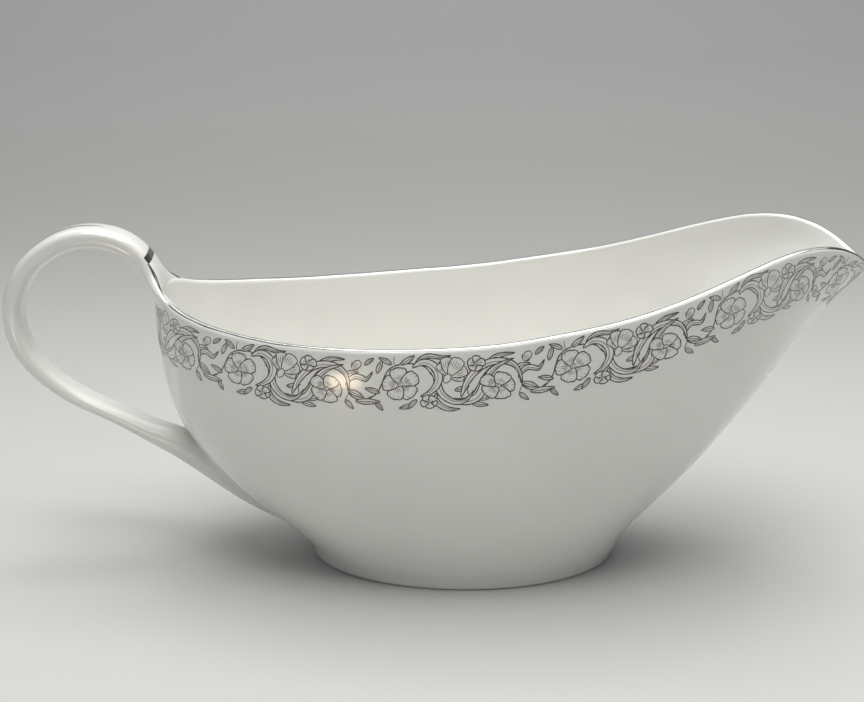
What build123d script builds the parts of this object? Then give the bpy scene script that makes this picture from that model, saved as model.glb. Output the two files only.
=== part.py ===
from build123d import *
import math
import os

# ---------------------------------------------------------------- driving dimensions (mm)
# Frame: +Z up, Z = 0 is the table, +X towards the pouring lip, the handle is at -X,
# and Y = 0 is the mirror plane of the whole boat.

foot_height = 4.0            # standing height of the foot ring
foot_ring_width = 3.4        # thickness of the foot ring wall at the table
floor_z = 8.0                # height of the inside floor
platinum_thick = 0.15        # raised thickness of the platinum lines
transfer_thick = 0.12        # thickness of the printed transfer film
rim_line_width = 1.5         # width of the platinum rim line on the outside
transfer_gap = 2.2           # plain glaze between the rim edge and the transfer
transfer_width = 14.6        # height of the floral band
band_width = 2.2             # platinum band across the top of the handle
spine_width = 0.9            # widest point of the platinum stroke on the handle crown

# Horizontal sections of the outside wall.  Each row gives the height, the aft end, the
# fore end, the half width and five fullness factors from the aft end to the fore end.
hull_rows = [
    (0.0, -34.2, 51.8, 31.30, (1.000, 1.000, 1.000, 1.010, 1.010)),
    (4.0, -35.8, 53.8, 32.20, (0.999, 1.002, 1.002, 1.010, 1.004)),
    (7.0, -38.5, 55.5, 33.20, (0.998, 1.003, 1.004, 1.010, 1.000)),
    (11.0, -42.9, 58.6, 34.80, (0.997, 1.004, 1.006, 1.010, 0.996)),
    (18.0, -51.5, 65.1, 37.60, (0.995, 1.006, 1.009, 1.010, 0.988)),
    (28.0, -61.9, 74.5, 40.95, (0.992, 1.008, 1.012, 1.009, 0.975)),
    (40.0, -70.6, 84.2, 43.85, (0.988, 1.009, 1.011, 1.004, 0.945)),
    (54.0, -75.0, 94.7, 45.40, (0.978, 1.007, 1.007, 0.988, 0.890)),
    (70.0, -76.5, 106.1, 45.95, (0.955, 0.996, 0.999, 0.955, 0.780)),
    (84.0, -76.8, 119.8, 46.30, (0.935, 0.970, 0.978, 0.893, 0.650)),
    (97.0, -76.8, 129.5, 46.60, (0.930, 0.945, 0.945, 0.790, 0.500)),
]

# Inset of the inside wall from the outside wall at each height above the floor.
cavity_rows = [
    (8.0, 13.5), (9.4, 9.4), (12.5, 6.6), (18.0, 5.0), (28.0, 4.0),
    (40.0, 3.4), (54.0, 3.0), (70.0, 2.8), (84.0, 2.8), (97.0, 2.8),
]

# Side profile of the rim: distance along the boat and height above the table.
rim_profile = [
    (-84.0, 80.4), (-76.0, 79.4), (-72.2, 77.4), (-69.3, 75.6), (-64.0, 74.0),
    (-57.7, 73.0), (-49.2, 72.1), (-38.1, 71.4), (-27.5, 71.3), (-17.0, 71.5),
    (-1.6, 72.2), (14.9, 73.4), (32.7, 76.0), (50.7, 79.4), (68.7, 84.7),
    (78.4, 88.1), (84.9, 90.3), (90.8, 92.0), (96.5, 93.0), (100.0, 93.2),
    (104.0, 93.0), (108.0, 92.1), (112.0, 90.4), (116.0, 87.7), (119.5, 84.4),
    (124.0, 79.0), (128.0, 73.5),
]

# Handle stations: centre (x, z), half thickness and half width of the strap.
handle_rows = [
    (-74.4, 70.5, 1.5, 12.0),
    (-75.1, 75.2, 2.0, 10.2),
    (-76.7, 80.0, 2.6, 7.0),
    (-79.6, 85.4, 3.0, 5.1),
    (-84.6, 89.6, 3.2, 4.9),
    (-91.5, 91.6, 3.3, 5.3),
    (-99.0, 91.0, 3.3, 5.5),
    (-106.2, 87.5, 3.2, 5.6),
    (-112.2, 81.7, 3.0, 5.6),
    (-115.5, 74.3, 2.9, 5.6),
    (-116.0, 66.4, 2.85, 5.6),
    (-113.5, 58.8, 2.7, 5.6),
    (-108.0, 52.0, 2.5, 5.6),
    (-101.2, 46.7, 2.3, 5.6),
    (-93.6, 42.7, 2.2, 5.6),
    (-86.0, 38.9, 2.3, 5.6),
    (-79.2, 35.3, 2.8, 5.7),
    (-72.7, 32.3, 3.7, 5.9),
    (-66.4, 28.6, 4.2, 6.1),
    (-60.2, 23.8, 4.0, 6.1),
    (-54.2, 18.8, 3.4, 5.7),
    (-48.0, 14.1, 2.7, 4.8),
    (-43.0, 10.4, 1.8, 3.3),
    (-39.6, 8.2, 0.9, 1.6),
]
handle_squareness = 2.5      # exponent of the superellipse strap section


# ---------------------------------------------------------------- section geometry
def fullness(factors, c):
    """Blend the five fullness factors along the section, c = -1 aft to +1 fore."""
    knots = (-1.0, -0.45, 0.1, 0.6, 1.0)
    total = 0.0
    for i, k in enumerate(knots):
        term = factors[i]
        for j, q in enumerate(knots):
            if j != i:
                term *= (c - q) / (k - q)
        total += term
    return total


def row_at(z):
    """Hull row at any height, by monotone cubic blending between the listed rows."""
    zs = [r[0] for r in hull_rows]
    z = min(max(z, zs[0]), zs[-1])
    i = max(j for j in range(len(zs) - 1) if zs[j] <= z)
    t = (z - zs[i]) / (zs[i + 1] - zs[i])

    def blend(get):
        v = [get(r) for r in hull_rows]
        d = [(v[j + 1] - v[j]) / (zs[j + 1] - zs[j]) for j in range(len(v) - 1)]

        def slope(j):
            if j == 0:
                return d[0]
            if j == len(v) - 1:
                return d[-1]
            if d[j - 1] * d[j] <= 0:
                return 0.0
            return 2 * d[j - 1] * d[j] / (d[j - 1] + d[j])

        h = zs[i + 1] - zs[i]
        a, b = v[i], v[i + 1]
        m, n = slope(i) * h, slope(i + 1) * h
        return (a * (2 * t**3 - 3 * t**2 + 1) + m * (t**3 - 2 * t**2 + t)
                + b * (-2 * t**3 + 3 * t**2) + n * (t**3 - t**2))

    return (z, blend(lambda r: r[1]), blend(lambda r: r[2]), blend(lambda r: r[3]),
            tuple(blend(lambda r, k=k: r[4][k]) for k in range(5)))


def section_points(row, inset=0.0, count=28):
    """Points round one horizontal section, moved inward by inset (or outward if < 0)."""
    _, aft, fore, half, factors = row
    mid, long = (aft + fore) / 2, (fore - aft) / 2
    ring = []
    for i in range(count):
        a = 2 * math.pi * i / count
        c, s = math.cos(a), math.sin(a)
        x = mid + (long - inset) * c
        y = (half - inset) * s * fullness(factors, c)
        ring.append((x, y))
    return ring


def clamp_rows(top):
    return [r for r in hull_rows if foot_height <= r[0] <= top]


# ---------------------------------------------------------------- shared cutting forms
# Everything under the rim surface: the rim profile extruded across the boat.
def under_rim(drop=0.0, bottom=-5.0):
    """Solid under the rim profile lowered by drop, across the full width of the boat."""
    pts = [(x, z - drop) for x, z in rim_profile]
    with BuildPart(mode=Mode.PRIVATE) as block:
        with BuildSketch(Plane.XZ):
            with BuildLine():
                top = Spline(*pts)
                Polyline(pts[-1], (pts[-1][0], bottom), (pts[0][0], bottom), pts[0])
            make_face()
        extrude(amount=70, both=True)
    return block.part


def hull_solid(grow=0.0):
    """Solid filled form of the outside wall above the foot, grown outward by grow."""
    with BuildPart(mode=Mode.PRIVATE) as form:
        for row in clamp_rows(200):
            with BuildSketch(Plane.XY.offset(row[0])):
                with BuildLine():
                    Spline(*section_points(row, -grow), periodic=True)
                make_face()
        loft()
    return form.part


rim_block = under_rim()
hull_filled = hull_solid() & rim_block

# ---------------------------------------------------------------- bowl
with BuildPart() as bowl:
    for row in clamp_rows(200):
        with BuildSketch(Plane.XY.offset(row[0])):
            with BuildLine():
                Spline(*section_points(row), periodic=True)
            make_face()
    loft()
    for z, inset in cavity_rows:
        with BuildSketch(Plane.XY.offset(z)):
            with BuildLine():
                Spline(*section_points(row_at(z), inset), periodic=True)
            make_face()
    loft(mode=Mode.SUBTRACT)
    add(rim_block, mode=Mode.INTERSECT)
bowl.part.label = "bowl"

# ---------------------------------------------------------------- foot ring
with BuildPart() as foot_ring:
    for z in (0.0, foot_height):
        with BuildSketch(Plane.XY.offset(z)):
            with BuildLine():
                Spline(*section_points(row_at(z)), periodic=True)
            make_face()
    loft()
    for z, inset in ((0.0, foot_ring_width), (foot_height, foot_ring_width + 2.6)):
        with BuildSketch(Plane.XY.offset(z)):
            with BuildLine():
                Spline(*section_points(row_at(z), inset), periodic=True)
            make_face()
    loft(mode=Mode.SUBTRACT)
foot_ring.part.label = "foot_ring"


# ---------------------------------------------------------------- handle
def handle_frame(i):
    """Centre, along-direction and outward normal of handle station i, in the XZ plane."""
    a = handle_rows[max(i - 1, 0)]
    b = handle_rows[min(i + 1, len(handle_rows) - 1)]
    dx, dz = b[0] - a[0], b[1] - a[1]
    size = math.hypot(dx, dz)
    dx, dz = dx / size, dz / size
    x, z = handle_rows[i][:2]
    return x, z, dx, dz


def strap_points(half_thick, half_wide, count=20):
    pts = []
    for k in range(count):
        a = 2 * math.pi * k / count
        c, s = math.cos(a), math.sin(a)
        e = 2 / handle_squareness
        pts.append((math.copysign(abs(c) ** e, c) * half_wide,
                    math.copysign(abs(s) ** e, s) * half_thick))
    return pts


def station_plane(i):
    x, z, dx, dz = handle_frame(i)
    return Plane(origin=(x, 0, z), x_dir=(0, 1, 0), z_dir=(dx, 0, dz))


def handle_solid(grow=0.0):
    """The whole strap before it is trimmed to the bowl, grown outward by grow."""
    with BuildPart(mode=Mode.PRIVATE) as form:
        for i, (x, z, half_thick, half_wide) in enumerate(handle_rows):
            with BuildSketch(station_plane(i)):
                with BuildLine():
                    Spline(*strap_points(half_thick + grow, half_wide + grow), periodic=True)
                make_face()
        loft()
    return form.part


with BuildPart() as handle:
    for i, (x, z, half_thick, half_wide) in enumerate(handle_rows):
        with BuildSketch(station_plane(i)):
            with BuildLine():
                Spline(*strap_points(half_thick, half_wide), periodic=True)
            make_face()
    loft()
    add(hull_filled, mode=Mode.SUBTRACT)
handle.part.label = "handle"


# ---------------------------------------------------------------- platinum rim line
handle_clear = handle_solid(0.2)

# A raised line on the outer edge of the rim, from one side of the handle root, round the
# pouring lip, to the other side.
with BuildPart() as rim_line:
    add(hull_solid(platinum_thick))
    add(rim_block, mode=Mode.INTERSECT)
    add(under_rim(rim_line_width), mode=Mode.SUBTRACT)
    add(hull_filled, mode=Mode.SUBTRACT)
    add(handle_clear, mode=Mode.SUBTRACT)
rim_line.part.label = "rim_line"

# ---------------------------------------------------------------- floral transfers
# Two printed films, one on each side, that follow the rim below the platinum line.
film_zone = under_rim(transfer_gap) - under_rim(transfer_gap + transfer_width)
film = (hull_solid(transfer_thick) & film_zone) - hull_filled - handle_clear
with BuildPart() as floral_transfer_near:
    with Locations((0, -50, 60)):
        Box(300, 99.4, 120)
    add(film, mode=Mode.INTERSECT)
floral_transfer_near.part.label = "floral_transfer_near"

with BuildPart() as floral_transfer_far:
    with Locations((0, 50, 60)):
        Box(300, 99.4, 120)
    add(film, mode=Mode.INTERSECT)
floral_transfer_far.part.label = "floral_transfer_far"

# ---------------------------------------------------------------- platinum on the handle
# Thin skin over the upper part of the handle, from which the platinum marks are cut.
upper = Pos(-95, 0, 92) * Box(60, 40, 44)
skin = (handle_solid(platinum_thick) & upper) - handle.part - hull_solid(0.3)


def side_path(first, last, lift):
    """Points beside the handle centreline, moved towards the crown by lift x thickness."""
    pts = []
    for i in range(first, last + 1):
        x, z, dx, dz = handle_frame(i)
        t = handle_rows[i][2] * lift
        pts.append((x + dz * t, z - dx * t))
    return pts


def ribbon(first, last, low, high):
    return side_path(first, last, low) + side_path(first, last, high)[::-1]


# The cross band sits a short way above the neck, square to the crown.
crown_a, crown_b = side_path(3, 3, 1.0)[0], side_path(4, 4, 1.0)[0]
run = math.dist(crown_a, crown_b)
ux, uz = (crown_b[0] - crown_a[0]) / run, (crown_b[1] - crown_a[1]) / run
nx, nz = uz, -ux
band_start = 0.7
band_box = [
    (crown_a[0] + ux * a + nx * n, crown_a[1] + uz * a + nz * n)
    for a, n in ((band_start, 3.0), (band_start + band_width, 3.0),
                 (band_start + band_width, -2.6), (band_start, -2.6))
]

with BuildPart() as handle_cross_band:
    with BuildSketch(Plane.XZ):
        with BuildLine():
            Polyline(*band_box, close=True)
        make_face()
    extrude(amount=20, both=True)
    add(skin, mode=Mode.INTERSECT)
handle_cross_band.part.label = "handle_cross_band"

# Platinum continues from the rim line up both side edges of the neck to the cross band.
below_band = [
    (crown_a[0] + ux * a + nx * n, crown_a[1] + uz * a + nz * n)
    for a, n in ((band_start - 0.05, 8.0), (30.0, 8.0), (30.0, -20.0), (band_start - 0.05, -20.0))
]
with BuildPart() as handle_line_near:
    with BuildSketch(Plane.XZ):
        with BuildLine():
            Polyline(*ribbon(1, 4, 0.15, 0.62), close=True)
        make_face()
        with BuildLine():
            Polyline(*below_band, close=True)
        make_face(mode=Mode.SUBTRACT)
    extrude(amount=20)
    add(skin, mode=Mode.INTERSECT)
handle_line_near.part.label = "handle_line_near"

with BuildPart() as handle_line_far:
    with BuildSketch(Plane.XZ):
        with BuildLine():
            Polyline(*ribbon(1, 4, 0.15, 0.62), close=True)
        make_face()
        with BuildLine():
            Polyline(*below_band, close=True)
        make_face(mode=Mode.SUBTRACT)
    extrude(amount=-20)
    add(skin, mode=Mode.INTERSECT)
handle_line_far.part.label = "handle_line_far"

# A slim stroke runs along the middle of the handle's crown.
with BuildPart() as handle_spine_line:
    with BuildSketch(Plane.XZ):
        with BuildLine():
            Polyline(*ribbon(5, 9, 0.7, 1.4), close=True)
        make_face()
    extrude(amount=spine_width / 2, both=True)
    add(skin, mode=Mode.INTERSECT)
handle_spine_line.part.label = "handle_spine_line"

# ---------------------------------------------------------------- files
os.makedirs("parts", exist_ok=True)
export_step(bowl.part, "parts/bowl.step")
export_step(foot_ring.part, "parts/foot_ring.step")
export_step(handle.part, "parts/handle.step")
export_step(rim_line.part, "parts/rim_line.step")
export_step(floral_transfer_near.part, "parts/floral_transfer_near.step")
export_step(floral_transfer_far.part, "parts/floral_transfer_far.step")
export_step(handle_cross_band.part, "parts/handle_cross_band.step")
export_step(handle_line_near.part, "parts/handle_line_near.step")
export_step(handle_line_far.part, "parts/handle_line_far.step")
export_step(handle_spine_line.part, "parts/handle_spine_line.step")
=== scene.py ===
import bpy
import math
import random
import numpy as np
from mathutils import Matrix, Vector


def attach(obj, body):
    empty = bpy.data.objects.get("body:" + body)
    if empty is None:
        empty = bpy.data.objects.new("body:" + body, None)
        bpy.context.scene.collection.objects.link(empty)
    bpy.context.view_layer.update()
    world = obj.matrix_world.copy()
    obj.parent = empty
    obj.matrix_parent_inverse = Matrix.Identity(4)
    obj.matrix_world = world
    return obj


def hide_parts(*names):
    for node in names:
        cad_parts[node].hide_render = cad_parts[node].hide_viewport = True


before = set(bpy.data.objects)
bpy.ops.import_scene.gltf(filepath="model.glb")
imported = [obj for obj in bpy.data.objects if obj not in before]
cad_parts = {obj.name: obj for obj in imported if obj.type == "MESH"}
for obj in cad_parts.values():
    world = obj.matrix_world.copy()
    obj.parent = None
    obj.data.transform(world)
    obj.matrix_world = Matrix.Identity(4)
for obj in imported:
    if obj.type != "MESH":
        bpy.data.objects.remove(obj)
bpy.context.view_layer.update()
MM = 0.001


# ------------------------------------------------------------------ smooth curves
class Spline1:
    """Natural cubic spline through (x, y), straight beyond both ends."""

    def __init__(self, x, y):
        self.x, self.y = np.asarray(x, float), np.asarray(y, float)
        n = len(self.x)
        h = np.diff(self.x)
        a = np.eye(n)
        b = np.zeros(n)
        for i in range(1, n - 1):
            a[i, i - 1 : i + 2] = h[i - 1], 2 * (h[i - 1] + h[i]), h[i]
            b[i] = 6 * (
                (self.y[i + 1] - self.y[i]) / h[i]
                - (self.y[i] - self.y[i - 1]) / h[i - 1]
            )
        self.m = np.linalg.solve(a, b)
        self.h = h

    def __call__(self, q):
        q = np.asarray(q, float)
        i = np.clip(np.searchsorted(self.x, q) - 1, 0, len(self.h) - 1)
        h, x0 = self.h[i], self.x[i]
        qc = np.clip(q, self.x[0], self.x[-1])
        a, b = (x0 + h - qc) / h, (qc - x0) / h
        y0, y1, m0, m1 = self.y[i], self.y[i + 1], self.m[i], self.m[i + 1]
        v = (
            a * y0
            + b * y1
            + ((a**3 - a) * m0 + (b**3 - b) * m1) * h * h / 6
        )
        slope = (y1 - y0) / h - (3 * a * a - 1) * h * m0 / 6 + (3 * b * b - 1) * h * m1 / 6
        return v + slope * (q - qc)


def smoothstep(lo, hi, v):
    t = np.clip((v - lo) / (hi - lo), 0, 1)
    return t * t * (3 - 2 * t)


# ------------------------------------------------------------------ hull form, in mm
HULL = [
    (0.0, -34.2, 51.8, 31.30, (1.000, 1.000, 1.000, 1.010, 1.010)),
    (4.0, -35.8, 53.8, 32.20, (0.999, 1.002, 1.002, 1.010, 1.004)),
    (7.0, -38.5, 55.5, 33.20, (0.998, 1.003, 1.004, 1.010, 1.000)),
    (11.0, -42.9, 58.6, 34.80, (0.997, 1.004, 1.006, 1.010, 0.996)),
    (18.0, -51.5, 65.1, 37.60, (0.995, 1.006, 1.009, 1.010, 0.988)),
    (28.0, -61.9, 74.5, 40.95, (0.992, 1.008, 1.012, 1.009, 0.975)),
    (40.0, -70.6, 84.2, 43.85, (0.988, 1.009, 1.011, 1.004, 0.945)),
    (54.0, -75.0, 94.7, 45.40, (0.978, 1.007, 1.007, 0.988, 0.890)),
    (70.0, -76.5, 106.1, 45.95, (0.955, 0.996, 0.999, 0.955, 0.780)),
    (84.0, -76.8, 119.8, 46.30, (0.935, 0.970, 0.978, 0.893, 0.650)),
    (97.0, -76.8, 129.5, 46.60, (0.930, 0.945, 0.945, 0.790, 0.500)),
]
hz = [r[0] for r in HULL]
AFT = Spline1(hz, [r[1] for r in HULL])
FORE = Spline1(hz, [r[2] for r in HULL])
HALF = Spline1(hz, [r[3] for r in HULL])
FULL = [Spline1(hz, [r[4][k] for r in HULL]) for k in range(5)]
KNOTS = (-1.0, -0.45, 0.1, 0.6, 1.0)


def fullness(z, c):
    total = 0.0
    for i, k in enumerate(KNOTS):
        term = FULL[i](z)
        for j, q in enumerate(KNOTS):
            if j != i:
                term = term * (c - q) / (k - q)
        total = total + term
    return total


def hull(z, a):
    """Outside wall: height z and angle a round the boat, 0 at the lip and pi at the handle."""
    z, a = np.broadcast_arrays(np.asarray(z, float), np.asarray(a, float))
    c, s = np.cos(a), np.sin(a)
    l, r = AFT(z), FORE(z)
    return np.stack(
        [(l + r) / 2 + (r - l) / 2 * c, HALF(z) * s * fullness(z, c), z], -1
    )


def unit(v):
    return v / np.maximum(np.linalg.norm(v, axis=-1, keepdims=True), 1e-12)


def hull_normal(z, a):
    e = 1e-3
    du = hull(z, a + e) - hull(z, a - e)
    dv = hull(z + e, a) - hull(z - e, a)
    return unit(np.cross(du, dv))


RIM = [
    (-84.0, 79.0), (-76.0, 78.0), (-72.2, 76.6), (-69.3, 75.4), (-64.0, 74.0),
    (-57.7, 73.0), (-49.2, 72.1), (-38.1, 71.4), (-27.5, 71.3), (-17.0, 71.5),
    (-1.6, 72.2), (14.9, 73.4), (32.7, 76.0), (50.7, 79.4), (68.7, 84.7),
    (78.4, 88.1), (84.9, 90.3), (90.8, 92.0), (96.5, 93.0), (100.0, 93.2),
    (104.0, 93.0), (108.0, 92.1), (112.0, 90.4), (116.0, 87.7), (119.5, 84.4),
    (124.0, 79.0), (128.0, 73.5),
]
RIM_Z = Spline1([p[0] for p in RIM], [p[1] for p in RIM])


def rim_height(a):
    """Height at which the wall reaches the rim's side profile, for each angle."""
    lo, hi = np.full(np.shape(a), 60.0), np.full(np.shape(a), 96.5)
    for _ in range(40):
        m = (lo + hi) / 2
        over = m > RIM_Z(hull(m, a)[..., 0])
        hi = np.where(over, m, hi)
        lo = np.where(over, lo, m)
    return (lo + hi) / 2


# ------------------------------------------------------------------ mesh helpers
def make_object(name, verts, faces, mats, smooth=True, face_mat=None, sharp=None):
    mesh = bpy.data.meshes.new(name)
    mesh.from_pydata([tuple(v) for v in np.asarray(verts) * MM], [], faces)
    for m in mats:
        mesh.materials.append(m)
    mesh.polygons.foreach_set("use_smooth", [smooth] * len(mesh.polygons))
    if face_mat is not None:
        mesh.polygons.foreach_set("material_index", face_mat)
    mesh.validate()
    mesh.update()
    if sharp is not None:
        mesh.set_sharp_from_angle(angle=math.radians(sharp))
    obj = bpy.data.objects.new(name, mesh)
    bpy.context.scene.collection.objects.link(obj)
    return obj


def grid_faces(rows, cols, start=0, wrap=True):
    """Quads between rows of a grid; each row holds cols vertices."""
    faces = []
    last = cols if wrap else cols - 1
    for i in range(rows - 1):
        for j in range(last):
            k = (j + 1) % cols
            faces.append(
                (
                    start + i * cols + j,
                    start + i * cols + k,
                    start + (i + 1) * cols + k,
                    start + (i + 1) * cols + j,
                )
            )
    return faces


# ------------------------------------------------------------------ materials
def node_material(name):
    m = bpy.data.materials.new(name)
    m.use_nodes = True
    nt = m.node_tree
    nt.nodes.clear()
    out = nt.nodes.new("ShaderNodeOutputMaterial")
    bsdf = nt.nodes.new("ShaderNodeBsdfPrincipled")
    nt.links.new(bsdf.outputs[0], out.inputs[0])
    coord = nt.nodes.new("ShaderNodeTexCoord")
    return m, nt, bsdf, coord


def noise(nt, coord, scale, detail=3.0, rough=0.5):
    n = nt.nodes.new("ShaderNodeTexNoise")
    n.inputs["Scale"].default_value = scale
    n.inputs["Detail"].default_value = detail
    n.inputs["Roughness"].default_value = rough
    nt.links.new(coord.outputs["Object"], n.inputs["Vector"])
    return n


def ramp(nt, source, stops):
    r = nt.nodes.new("ShaderNodeValToRGB")
    r.color_ramp.elements[0].position = stops[0][0]
    r.color_ramp.elements[0].color = stops[0][1]
    r.color_ramp.elements[1].position = stops[-1][0]
    r.color_ramp.elements[1].color = stops[-1][1]
    for p, c in stops[1:-1]:
        e = r.color_ramp.elements.new(p)
        e.color = c
    nt.links.new(source, r.inputs["Fac"])
    return r


def bump(nt, bsdf, height, strength, distance):
    b = nt.nodes.new("ShaderNodeBump")
    b.inputs["Strength"].default_value = strength
    b.inputs["Distance"].default_value = distance
    nt.links.new(height, b.inputs["Height"])
    nt.links.new(b.outputs["Normal"], bsdf.inputs["Normal"])
    return b


def grey(v, w=None):
    return (v, v, v, 1.0) if w is None else (*v, 1.0)


def porcelain(name, tone=(0.870, 0.866, 0.835)):
    """Warm white porcelain under a clear glaze: faint cloudiness, a few pin specks, a slow ripple."""
    m, nt, b, co = node_material(name)
    cloud = noise(nt, co, 28.0, 4.0)
    lo = tuple(c * 0.975 for c in tone)
    hi = tuple(min(c * 1.02, 1) for c in tone)
    body = ramp(nt, cloud.outputs["Fac"], [(0.3, (*lo, 1)), (0.7, (*hi, 1))])
    speck = nt.nodes.new("ShaderNodeTexVoronoi")
    speck.inputs["Scale"].default_value = 240.0
    nt.links.new(co.outputs["Object"], speck.inputs["Vector"])
    dot = ramp(nt, speck.outputs["Distance"], [(0.035, (1, 1, 1, 1)), (0.06, (0, 0, 0, 1))])
    gate = noise(nt, co, 95.0, 1.0)
    few = ramp(nt, gate.outputs["Fac"], [(0.66, (0, 0, 0, 1)), (0.70, (1, 1, 1, 1))])
    mul = nt.nodes.new("ShaderNodeMath")
    mul.operation = "MULTIPLY"
    nt.links.new(dot.outputs["Color"], mul.inputs[0])
    nt.links.new(few.outputs["Color"], mul.inputs[1])
    mul2 = nt.nodes.new("ShaderNodeMath")
    mul2.operation = "MULTIPLY"
    mul2.inputs[1].default_value = 0.35
    nt.links.new(mul.outputs[0], mul2.inputs[0])
    mix = nt.nodes.new("ShaderNodeMix")
    mix.data_type = "RGBA"
    mix.inputs["B"].default_value = (0.42, 0.38, 0.32, 1)
    nt.links.new(mul2.outputs[0], mix.inputs["Factor"])
    nt.links.new(body.outputs["Color"], mix.inputs["A"])
    nt.links.new(mix.outputs["Result"], b.inputs["Base Color"])
    r = noise(nt, co, 60.0, 2.0)
    rr = ramp(nt, r.outputs["Fac"], [(0.3, grey(0.10)), (0.75, grey(0.17))])
    nt.links.new(rr.outputs["Color"], b.inputs["Roughness"])
    b.inputs["IOR"].default_value = 1.52
    b.inputs["Subsurface Weight"].default_value = 0.12
    b.inputs["Subsurface Radius"].default_value = (1.0, 0.85, 0.65)
    b.inputs["Subsurface Scale"].default_value = 0.003
    b.inputs["Coat Weight"].default_value = 0.35
    b.inputs["Coat Roughness"].default_value = 0.035
    b.inputs["Coat IOR"].default_value = 1.5
    wave = noise(nt, co, 55.0, 1.5, 0.4)
    bump(nt, b, wave.outputs["Fac"], 0.10, 0.0004)
    return m


def bisque(name):
    """Dry unglazed clay of the standing edge, ground flat and slightly soiled."""
    m, nt, b, co = node_material(name)
    n = noise(nt, co, 900.0, 5.0, 0.65)
    r = ramp(
        nt,
        n.outputs["Fac"],
        [(0.3, (0.60, 0.57, 0.51, 1)), (0.55, (0.74, 0.72, 0.67, 1)), (0.8, (0.80, 0.785, 0.74, 1))],
    )
    nt.links.new(r.outputs["Color"], b.inputs["Base Color"])
    b.inputs["Roughness"].default_value = 0.78
    bump(nt, b, n.outputs["Fac"], 0.5, 0.0001)
    return m


def platinum(name, tone=(0.80, 0.795, 0.77)):
    """Fired platinum lustre: bright metal with faint brush streaks and thin worn places."""
    m, nt, b, co = node_material(name)
    n = noise(nt, co, 420.0, 4.0, 0.6)
    lo = tuple(c * 0.78 for c in tone)
    r = ramp(nt, n.outputs["Fac"], [(0.35, (*lo, 1)), (0.65, (*tone, 1))])
    nt.links.new(r.outputs["Color"], b.inputs["Base Color"])
    rr = ramp(nt, n.outputs["Fac"], [(0.3, grey(0.14)), (0.7, grey(0.26))])
    nt.links.new(rr.outputs["Color"], b.inputs["Roughness"])
    b.inputs["Metallic"].default_value = 1.0
    streak = noise(nt, co, 1500.0, 2.0)
    bump(nt, b, streak.outputs["Fac"], 0.15, 0.00004)
    return m


def ink(name):
    """Fired transfer ink: brown-black line with a lustre in it, painted paler and silvery toward both ends as a
    painted reflection, set by position along X.
    """
    m, nt, b, co = node_material(name)
    n = noise(nt, co, 700.0, 4.0, 0.6)
    dark = ramp(nt, n.outputs["Fac"], [(0.3, (0.034, 0.024, 0.021, 1)), (0.7, (0.085, 0.064, 0.056, 1))])
    # pale: silvery tone painted on both ends of the band, a painted reflection of the side lights
    pale = ramp(nt, n.outputs["Fac"], [(0.3, (0.20, 0.20, 0.195, 1)), (0.7, (0.33, 0.33, 0.32, 1))])
    sep = nt.nodes.new("ShaderNodeSeparateXYZ")
    nt.links.new(co.outputs["Object"], sep.inputs[0])
    drift = noise(nt, co, 45.0, 2.0)
    span = nt.nodes.new("ShaderNodeMath")
    span.operation = "MULTIPLY_ADD"
    span.inputs[1].default_value = 0.022
    nt.links.new(drift.outputs["Fac"], span.inputs[0])
    nt.links.new(sep.outputs["X"], span.inputs[2])
    # position along X, with a little noise, sets where the painted reflection replaces the dark ink
    painted_reflection_by_x = nt.nodes.new("ShaderNodeMapRange")
    painted_reflection_by_x.inputs["From Min"].default_value = -0.0900
    painted_reflection_by_x.inputs["From Max"].default_value = 0.1300
    nt.links.new(span.outputs[0], painted_reflection_by_x.inputs["Value"])
    ends = ramp(
        nt,
        painted_reflection_by_x.outputs["Result"],
        [(0.14, grey(0.90)), (0.24, grey(0.05)), (0.76, grey(0.03)), (0.86, grey(0.95))],
    )
    mix = nt.nodes.new("ShaderNodeMix")
    mix.data_type = "RGBA"
    nt.links.new(ends.outputs["Color"], mix.inputs["Factor"])
    nt.links.new(dark.outputs["Color"], mix.inputs["A"])
    nt.links.new(pale.outputs["Color"], mix.inputs["B"])
    nt.links.new(mix.outputs["Result"], b.inputs["Base Color"])
    b.inputs["Metallic"].default_value = 0.30
    b.inputs["Coat Weight"].default_value = 0.6
    b.inputs["Coat Roughness"].default_value = 0.08
    rr = ramp(nt, n.outputs["Fac"], [(0.3, grey(0.26)), (0.7, grey(0.40))])
    nt.links.new(rr.outputs["Color"], b.inputs["Roughness"])
    bump(nt, b, n.outputs["Fac"], 0.2, 0.00003)
    return m


mat_bowl = porcelain("porcelain_bowl")
mat_handle = porcelain("porcelain_handle", (0.872, 0.868, 0.836))
mat_foot = porcelain("porcelain_foot", (0.862, 0.858, 0.826))
mat_bisque = bisque("bisque_edge")
mat_platinum = platinum("platinum_lustre")
# Dark platinum: the spine stroke's own colour, and painted shade on the edge strips of the rim and handle lines
mat_dark_stroke_and_edge_shade = platinum("platinum_edge", (0.13, 0.125, 0.12))
mat_dark = platinum("platinum_on_handle", (0.40, 0.395, 0.375))
mat_ink = ink("transfer_ink")

# ------------------------------------------------------------------ bowl
COLS = 448
ang = np.linspace(0, 2 * np.pi, COLS, endpoint=False)
LIP = 1.32  # half thickness of the wall at the rim


def wall_top(a):
    """Height on the outside wall where the rounded lip starts."""
    e = 0.05
    z = rim_height(a)
    up = unit(hull(z, a) - hull(z - e, a))
    return z - LIP * 0.98 * up[..., 2]


def wall_parts(a):
    """Outside point, outward normal and upward direction where the lip starts."""
    z = wall_top(a)
    p = hull(z, a)
    n = hull_normal(z, a)
    up = unit(hull(z, a) - hull(z - 0.05, a))
    return z, p, n, up


z_top, p_top, n_top, up_top = wall_parts(ang)


def wall_thickness(z):
    return 2 * LIP + 1.5 * (1 - smoothstep(8, 45, z))


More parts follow.
